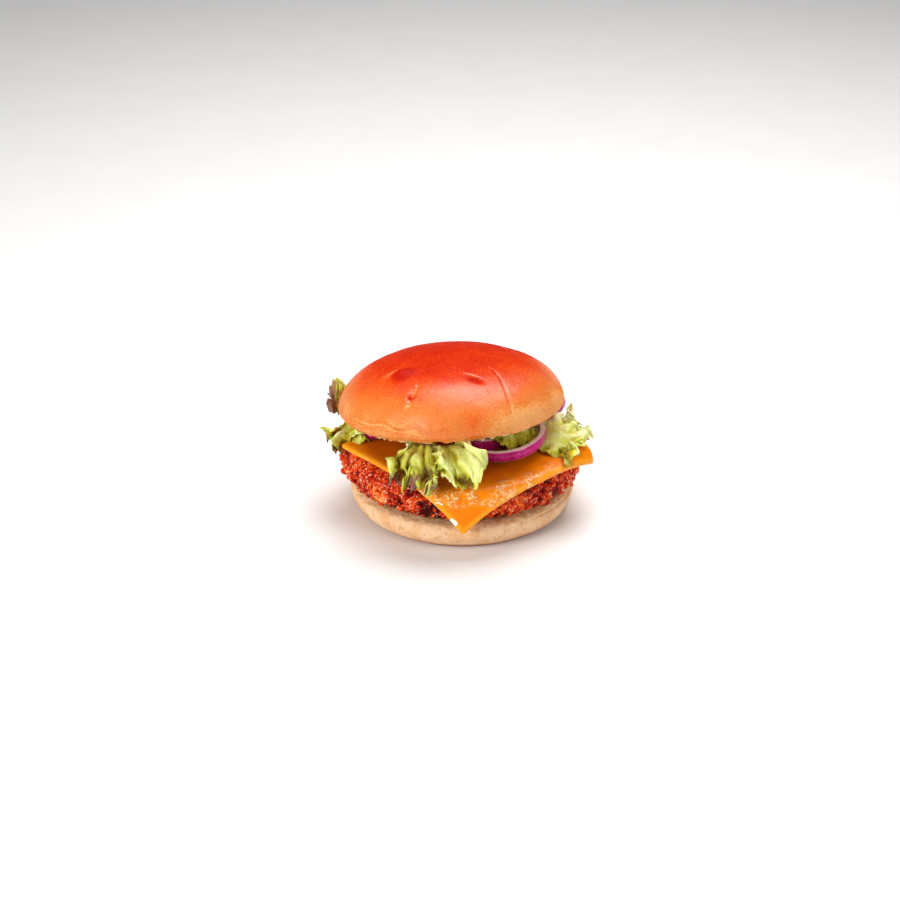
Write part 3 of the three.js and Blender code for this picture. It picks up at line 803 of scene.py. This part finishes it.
def onion_ring(name, centre, radius, wall, height, tilt, finish):
    """One ring of a red onion: flat cut faces, a bulging skin and a slightly hollow inside."""
    around, half, inner = ONION["around"], height / 2, radius - wall
    loop = []  # (radius, height, skin)
    for t in np.linspace(-1, 1, 15):
        skin = 1 - smooth(abs(t), 0.82, 0.98)
        loop.append((radius - ONION["skin_bulge"] * height * t * t, half * t, skin))
    outer = radius - ONION["skin_bulge"] * height
    for t in np.linspace(0, 1, 8)[1:-1]:
        loop.append((blend(outer, inner, t), half + ONION["cut_bulge"] * math.sin(math.pi * t), 0))
    for t in np.linspace(1, -1, 9):
        loop.append((inner - ONION["hollow"] * height * (1 - t * t), half * t, 0))
    for t in np.linspace(0, 1, 8)[1:-1]:
        loop.append((blend(inner, outer, t), -half - ONION["cut_bulge"] * math.sin(math.pi * t), 0))
    loop = np.array(loop)
    angle = np.linspace(0, 2 * np.pi, around, endpoint=False)
    uneven = 1 + ONION["oval"] * np.sin(2 * angle + radius) + ONION["wobble"] * np.sin(3 * angle)
    wave = 0.25 * noise(angle * 1.6, radius, 0, 91)
    r = loop[:, 0][:, None] * uneven
    points = np.stack([
        r * np.cos(angle), r * np.sin(angle), loop[:, 1][:, None] + wave + 0 * r,
    ], axis=-1)
    turn = np.array(Matrix.Rotation(-math.radians(tilt), 3, "Y"))
    points = points.reshape(-1, 3) @ turn.T + np.array(centre, float)
    faces = ring_faces(len(loop), around)
    last = (len(loop) - 1) * around
    for j in range(around):
        k = (j + 1) % around
        faces.append((last + j, last + k, k, j))
    depth = (loop[:, 0] - inner) / wall
    marks = {"skin": np.repeat(loop[:, 2], around), "depth": np.repeat(depth, around)}
    piece = build("onion_" + name, points, faces, finish, marks)
    return dress(piece, "onion", "onion_ring_" + name)


# ---------------------------------------------------------------- lettuce

LEAF = dict(
    blade_length=0.5, spread_lead=0.2, spread_end=1.05, stem_frill=0.12, middle_frill=0.55,
    slant=1.2, seed_turn=1.7, drift=1.3, edge_drift=2.2, wrinkle=0.45, ruffle_share=0.62,
    flare=3.0, side_reach=0.93, curls=((6.5, 4.7), (3.3, 3.3), (1.7, 1.5)), teeth=0.8,
    thickness=(1.1, 0.4), columns=14, rows=110, rim_rows=2, lift_over_slice=0.9,
)
# A path runs from the tucked-in end to the frilled edge, and widths are those of its two ends.
# roll and cup bend the blade. folds is the number of waves across it, and ruffle their height.
# tooth, rounding and skew shape the outer edge. pale lightens the leaf, and the tips brown it.
LEAF_USUAL = dict(
    stem=0.25, roll=0, cup=0, ruffle=2.6, tooth=4, skew=0, pale=0, tip_from=0.5, tip_side=0,
)
LEAVES = [LEAF_USUAL | own for own in (
    dict(
        path=[(-18, -18, 38), (-18.5, -31, 45.5), (-19.8, -43, 50), (-22.3, -53.5, 46),
              (-24, -58.5, 37)],
        name="front_left", widths=(10, 27), cup=1.5, ruffle=3, folds=4.2, rounding=0.35, seed=1,
        tip=0.7, tip_from=0.25, tip_side=1,
    ),
    dict(
        path=[(-8.5, -22, 38), (-7.2, -33, 45.5), (-5.8, -43.5, 50), (-2.4, -53, 46),
              (-1, -58, 36.5)],
        name="front", widths=(5, 24), stem=0.3, roll=14, folds=2.6, rounding=0.9, seed=2,
        pale=0.15, tip=0.3,
    ),
    dict(
        path=[(33.5, -4, 37.9), (40, -6, 39.2), (48.5, -8, 40), (57, -8.5, 39.6), (64, -8, 37)],
        name="right", widths=(24, 49), roll=3, cup=1.5, folds=3.5, rounding=0.3, skew=0.35, seed=3,
        pale=0.45, tip=0.1,
    ),
    dict(
        path=[(-38, 3, 41.4), (-46, 1, 42), (-53.5, -3, 42), (-58, -7, 38), (-59.5, -10, 30)],
        name="left", widths=(6, 20), stem=0.3, roll=-12, folds=2.4, tooth=3.5, rounding=0.55,
        seed=4, pale=0.1, tip=0.45,
    ),
    dict(
        path=[(-36, 16, 40.6), (-46, 15, 41.4), (-54.5, 12, 43), (-59, 10, 47), (-60.5, 9, 52.5)],
        name="left_back", widths=(8, 17), stem=0.3, roll=20, ruffle=2.4, folds=2.2, tooth=4.5,
        rounding=0.9, seed=8, pale=-0.1, tip=1.5, tip_from=-0.3,
    ),
    dict(
        path=[(26, 9, 43.8), (26.5, 0, 44), (27, -10, 43.9), (26.5, -19, 43.2), (25.5, -25.5, 42)],
        name="inner", widths=(14, 23), ruffle=0.9, folds=2, tooth=2, rounding=0.4, seed=5,
        pale=0.35, tip=0.2,
    ),
    dict(
        path=[(-13, 30, 37.2), (-19, 42, 36.4), (-25, 53, 36.4), (-28.5, 60, 35), (-30, 64, 30)],
        name="back_left", widths=(11, 41), ruffle=3, folds=4, tooth=3.6, rounding=0.55, seed=6,
        tip=0.5,
    ),
    dict(
        path=[(12, 30, 37.4), (15, 42, 36.8), (18, 53, 37.2), (20, 60, 36.4), (21, 65, 32)],
        name="back_right", widths=(11, 42), ruffle=3, folds=4, tooth=3.6, rounding=0.55, seed=7,
        pale=0.2, tip=0.2,
    ),
)]


def path_point(path, along):
    """Points on the smooth curve through a path, centripetal so that it doesn't swing out."""
    path = np.asarray(path, float)
    ends = np.vstack([2 * path[0] - path[1], path, 2 * path[-1] - path[-2]])
    spans = len(path) - 1
    at = np.clip(along, 0, 1) * spans
    i = np.minimum(np.floor(at).astype(int), spans - 1)
    t = (at - i)[:, None]
    p0, p1, p2, p3 = (ends[i + k] for k in range(4))

    def knot(a, b):
        return np.sum((a - b) ** 2, axis=1, keepdims=True) ** 0.25

    d0, d1, d2 = knot(p0, p1), knot(p1, p2), knot(p2, p3)
    start = ((p1 - p0) / d0 - (p2 - p0) / (d0 + d1) + (p2 - p1) / d1) * d1
    end = ((p2 - p1) / d1 - (p3 - p1) / (d1 + d2) + (p3 - p2) / d2) * d1
    bend = (3 * (p2 - p1) - 2 * start - end) * t**2
    return p1 + start * t + bend + (2 * (p1 - p2) + start + end) * t**3


def unit(vectors):
    return vectors / np.linalg.norm(vectors, axis=1, keepdims=True)


def notches(x, y, depth, share, seed):
    """Sharp notches between rounded lobes. The lobes stand out by the share of the depth."""
    return depth * (share - np.abs(noise(x, y, 0, seed)))


def near_edge(along, side, start):
    """0 in the middle of a leaf and 1 at its frilled edge and sides."""
    out = smooth(np.maximum(along, LEAF["side_reach"] * np.abs(side)), start, 1)
    return out * smooth(along, 0.15, 0.5)


def leaf_surface(leaf, u, v):
    """A leaf's middle surface: v 0 is the tucked-in end and v 1 the frilled edge, u runs across."""
    along = np.clip(v, 0, 1)
    side = 2 * u - 1
    blade = smooth(along, leaf["stem"], leaf["stem"] + LEAF["blade_length"])
    spread = smooth(along, leaf["stem"] - LEAF["spread_lead"], LEAF["spread_end"])
    half_width = blend(leaf["widths"][0], leaf["widths"][1], spread) / 2

    step = 1e-4
    after = path_point(leaf["path"], np.minimum(along + step, 1))
    ahead = unit(after - path_point(leaf["path"], np.maximum(along - step, 0)))
    across = unit(np.stack([ahead[:, 1], -ahead[:, 0], 0 * along], axis=1))
    roll = np.radians(leaf["roll"]) * blade[:, None]
    across = across * np.cos(roll) + np.cross(ahead, across) * np.sin(roll)
    face = unit(np.cross(across, ahead))

    place = side * leaf["folds"]
    seed = leaf["seed"]
    drift = LEAF["drift"] * noise(place * 0.6, along * 1.5, 0, seed + 20)
    late = LEAF["edge_drift"] * smooth(along, 0.4, 0.7)
    drift = drift + late * noise(place * 1.1, along * 6, 0, seed + 25)
    turn = np.pi * place + LEAF["seed_turn"] * seed + LEAF["slant"] * along + drift
    wrinkle = LEAF["wrinkle"] * noise(place * 1.4, along * 4, 0, seed + 40)
    frill = blend(LEAF["stem_frill"], 1, blade) * blend(LEAF["middle_frill"], 1, side * side)
    teeth = leaf["tooth"] * noise(place * 1.9, 0.5, 0, seed + 60)
    trim = half_width * (leaf["rounding"] * side * side + leaf["skew"] * smooth(side, -0.2, 1))

    # Towards its edge the leaf grows faster than it can spread, so it crumples into tight curls.
    length = np.linalg.norm(np.diff(np.asarray(leaf["path"], float), axis=0), axis=1).sum()
    s, t = side * half_width, along * length
    edge = near_edge(along, side, 0.45)
    curl = np.zeros((len(u), 3))
    for octave, (size, height) in enumerate(LEAF["curls"]):
        for axis, share in enumerate((0.8, 1.0, 0.55)):
            bulge = noise(s / size, t / size * 0.6, 0, seed + 100 + 10 * octave + axis)
            curl[:, axis] += height * share * bulge
    curl *= (leaf["ruffle"] / 3 * edge)[:, None]
    pucker = 0.35 * noise(s / 3.4, t / 4.5, 0, seed + 80)
    pucker = (pucker + notches(s / 4.6, t / 3.2, 0.9, 0.3, seed + 82)) * blade
    flare = LEAF["flare"] * edge**2 * noise(place * 0.8, 3.5, 0, seed + 85)
    droop = -leaf["cup"] * blade * side * side
    waves = leaf["ruffle"] * LEAF["ruffle_share"] * frill * (np.sin(turn) + wrinkle)
    lift = waves + pucker + flare + droop + curl[:, 1]
    # Deep notches part the lobes, and every lobe is toothed.
    jag = notches(place * 1.5, 4.5, 8.0, 0.18, seed + 88)
    jag = jag + notches(place * 4.1, 1.5, 4.2, 0.22, seed + 90)
    jag = jag + LEAF["teeth"] * noise(place * 13, 2.5, 0, seed + 95)
    rag = notches(t / 4.5, side, 5.0, 0.2, seed + 96) + notches(t / 1.8, side, 2.6, 0.2, seed + 97)
    rag = rag * smooth(np.abs(side), 0.6, 1) * smooth(along, 0.3, 0.6) * np.sign(side)
    onwards = along * blade * (along * teeth - trim) + smooth(along, 0.7, 1) * jag + curl[:, 2]
    middle = (
        path_point(leaf["path"], along)
        + across * (s + rag + curl[:, 0])[:, None]
        + face * lift[:, None]
        + ahead * onwards[:, None]
    )
    # Over the slice a leaf lies on it instead of sinking in.
    reach = np.hypot(middle[:, 0] - PATTY["centre"][0], middle[:, 1] - PATTY["centre"][1])
    bed = CHEESE_LEVEL + CHEESE["thickness"] / 2 + LEAF["lift_over_slice"]
    bed = bed * (1 - smooth(reach, 53, 57))
    middle[:, 2] = np.maximum(middle[:, 2], bed + 0.12 * (middle[:, 2] - bed))
    # The second value rises on the crests of the folds, for painted light there and painted shade
    # in the valleys.
    return middle, smooth(lift - droop - 0.5 * flare, -2.6, 2.8)


def leaf_piece(leaf, finish):
    """One lettuce leaf, thicker at the stem than at the frilled edge."""

    def thickness(u, v):
        return blend(*LEAF["thickness"], smooth(v, 0.1, 0.7))

    def middle(u, v):
        return leaf_surface(leaf, u, v)[0]

    columns = int(LEAF["columns"] * leaf["widths"][1] ** 0.75)
    points, faces, uv = sheet(columns, LEAF["rows"], thickness, middle, LEAF["rim_rows"])
    ridge = leaf_surface(leaf, uv[:, 0], uv[:, 1])[1]
    side, along = 2 * uv[:, 0] - 1, uv[:, 1]
    edge = near_edge(along, side, 0.6)
    patch = smooth(noise(side * leaf["folds"] * 0.8, along * 2.4, 0, leaf["seed"] + 50), -0.3, 0.6)
    sided = 1 + 1.5 * smooth(leaf["tip_side"] * side, 0.35, 0.85)
    tip = leaf["tip"] * smooth(edge, leaf["tip_from"], 1.0) * blend(0.4, 1.2, patch) * sided
    marks = {"along": along - leaf["pale"], "edge": edge, "tip": tip, "ridge": ridge}
    piece = build("leaf_" + leaf["name"], points, faces, finish, marks, uv)
    return dress(piece, "lettuce", "lettuce_" + leaf["name"])


# ---------------------------------------------------------------- crumbs


def crumb_tree(pebble, material):
    """Nodes that scatter turned, scaled crumbs over the marked side of a surface."""
    tree = bpy.data.node_groups.new("scatter_crumbs", "GeometryNodeTree")
    face = tree.interface
    face.new_socket("Surface", in_out="INPUT", socket_type="NodeSocketGeometry")
    for name in CRUMBS:
        kind = "Int" if name == "Seed" else "Float"
        face.new_socket(name, in_out="INPUT", socket_type="NodeSocket" + kind)
    face.new_socket("Crumbs", in_out="OUTPUT", socket_type="NodeSocketGeometry")

    def add(kind, settings=None, **sockets):
        """A node: its settings, then its sockets by identifier. Gives its outputs the same way."""
        made = tree.nodes.new(kind)
        for key, value in (settings or {}).items():
            setattr(made, key, value)
        ports = {s.identifier: s for s in made.inputs}
        for key, value in sockets.items():
            if isinstance(value, bpy.types.NodeSocket):
                tree.links.new(value, ports[key])
            else:
                ports[key].default_value = value
        return {s.identifier: s for s in made.outputs}

    source = tree.nodes.new("NodeGroupInput").outputs
    seed = source["Seed"]
    chosen = add("GeometryNodeInputNamedAttribute", {"data_type": "FLOAT"}, Name="crumbs")
    density = add("ShaderNodeMath", {"operation": "MULTIPLY"},
                  Value=chosen["Attribute"], Value_001=source["Per square metre"])
    spread = add("GeometryNodeDistributePointsOnFaces", Mesh=source["Surface"],
                 Density=density["Value"], Seed=seed)
    sunk = add("ShaderNodeVectorMath", {"operation": "SCALE"},
               Vector=spread["Normal"], Scale=source["Sink"])
    moved = add("GeometryNodeSetPosition", Geometry=spread["Points"], Offset=sunk["Vector"])
    shape = add("GeometryNodeObjectInfo", {"transform_space": "ORIGINAL"}, Object=pebble)
    size = add("FunctionNodeRandomValue", {"data_type": "FLOAT"},
               Min_001=source["Smallest"], Max_001=source["Largest"], Seed=seed)
    spin = add("FunctionNodeRandomValue", {"data_type": "FLOAT_VECTOR"},
               Max=(2 * math.pi,) * 3, Seed=seed)
    placed = add("GeometryNodeInstanceOnPoints", Points=moved["Geometry"],
                 Instance=shape["Geometry"], Rotation=spin["Value"], Scale=size["Value_001"])
    real = add("GeometryNodeRealizeInstances", Geometry=placed["Instances"])
    done = add("GeometryNodeSetMaterial", Geometry=real["Geometry"], Material=material)
    tree.links.new(done["Geometry"], tree.nodes.new("NodeGroupOutput").inputs[0])
    return tree


def pebble_shape():
    """One rough crumb, about 2 mm across at scale 1, of a few dozen faces."""
    points, faces = turned([(0, -1), (0.75, -0.7), (1, 0), (0.7, 0.75), (0, 1)], 7)
    points = points * (1 + 0.5 * noise_at(points * 1.3, 1, 75))[:, None] * np.array([1, 0.85, 0.6])
    return build("crumb_shape", points, faces, crumb_finish())


def scatter_over(surface, pebble, name):
    """Runs the crumb nodes over a surface and gives the crumbs as a plain mesh."""
    holder = shown(name + "_source", surface.data.copy())
    modifier = holder.modifiers.new("crumbs", "NODES")
    tree = crumb_tree(pebble, pebble.data.materials[0])
    modifier.node_group = tree
    for item in tree.interface.items_tree:
        if item.in_out == "INPUT" and item.name in CRUMBS:
            modifier[item.identifier] = CRUMBS[item.name]
    graph = bpy.context.evaluated_depsgraph_get()
    mesh = bpy.data.meshes.new_from_object(holder.evaluated_get(graph))
    mesh.name = name
    holder.modifiers.remove(modifier)
    bpy.data.objects.remove(holder)
    mesh.shade_smooth()
    return shown(name, mesh)


def crumbed_patty():
    """The patty with loose crumbs on its side, away from its flat faces."""
    coating = patty()
    side = np.zeros(len(coating.data.vertices), np.float32)
    coating.data.attributes["side"].data.foreach_get("value", side)
    heights = np.array([v.co.z for v in coating.data.vertices]) / MM
    low = smooth(heights, PATTY_BOTTOM + 0.6, PATTY_BOTTOM + 3)
    high = 1 - smooth(heights, PATTY_TOP - 3, PATTY_TOP - 1)
    chosen = coating.data.attributes.new("crumbs", "FLOAT", "POINT")
    chosen.data.foreach_set("value", (side * low * high).astype(np.float32))
    pebble = pebble_shape()
    crumbs = scatter_over(coating, pebble, "patty_crumbs")
    bpy.data.objects.remove(pebble)
    dress(coating, "patty", "chicken_patty")
    dress(crumbs, "patty", "chicken_patty")


# ---------------------------------------------------------------- the burger

heel()
crumbed_patty()
cheese()
crown()
onion_skin = onion_finish()
for ring in ONION_RINGS:
    onion_ring(*ring, onion_skin)
fresh = leaf_finish("frilly_lettuce", ("7C5A24", "885260"))
for leaf in LEAVES:
    leaf_piece(leaf, fresh)


# ---------------------------------------------------------------- studio


FLOOR_REACH = 3.0
WORLD_LIGHT = 0.1
# Where the camera aims, in millimetres, how steeply it looks down and how far off it stands.
CAMERA = dict(aim=(-5.8, 0, 26.5), rise=27.5, distance=1.1, lens=90, sensor=36, nearest=0.01)
# Each soft light: where it is and where it aims, in metres, its width and its power.
LIGHTS = dict(
    overhead=((0.1, 0.28, 0.9), (0, 0, 0.04), 0.8, 11.0),
    front_left=((-0.75, -0.62, 0.45), (0, 0, 0.03), 0.6, 9.0),
    front_right=((0.7, -0.5, 0.5), (0, 0, 0.03), 0.4, 3.0),
)


def floor():
    mesh = bpy.data.meshes.new("table_top")
    r = FLOOR_REACH
    mesh.from_pydata([(-r, -r, 0), (r, -r, 0), (r, r, 0), (-r, r, 0)], [], [(0, 1, 2, 3)])
    piece = shown("table_top", mesh)
    f = Finish("pale_table", roughness=0.6)
    tone = f.grain(40, 2)
    mesh.materials.append(f.feed(base_color=f.mix(tone, paint("EFEDEB"), paint("E9E7E5"))))


def aim_at(thing, place, aim):
    thing.location = place
    thing.rotation_euler = (Vector(aim) - Vector(place)).to_track_quat("-Z", "Y").to_euler()


def softbox(name, place, aim, size, power):
    light = bpy.data.lights.new(name, "AREA")
    light.shape = "DISK"
    light.size = size
    light.energy = power
    aim_at(shown(name, light), place, aim)


def camera():
    aim = Vector(CAMERA["aim"]) * MM
    rise = math.radians(CAMERA["rise"])
    lens = bpy.data.cameras.new("camera")
    lens.lens = CAMERA["lens"]
    lens.sensor_width = CAMERA["sensor"]
    lens.clip_start = CAMERA["nearest"]
    body = shown("camera", lens)
    aim_at(body, aim + CAMERA["distance"] * Vector((0, -math.cos(rise), math.sin(rise))), aim)
    bpy.context.scene.camera = body


def studio():
    world = bpy.data.worlds.new("studio")
    world.use_nodes = True
    world.node_tree.nodes["Background"].inputs["Color"].default_value = (1, 1, 1, 1)
    world.node_tree.nodes["Background"].inputs["Strength"].default_value = WORLD_LIGHT
    bpy.context.scene.world = world
    bpy.context.scene.view_settings.view_transform = "Standard"
    for name, values in LIGHTS.items():
        softbox(name, *values)


floor()
camera()
studio()
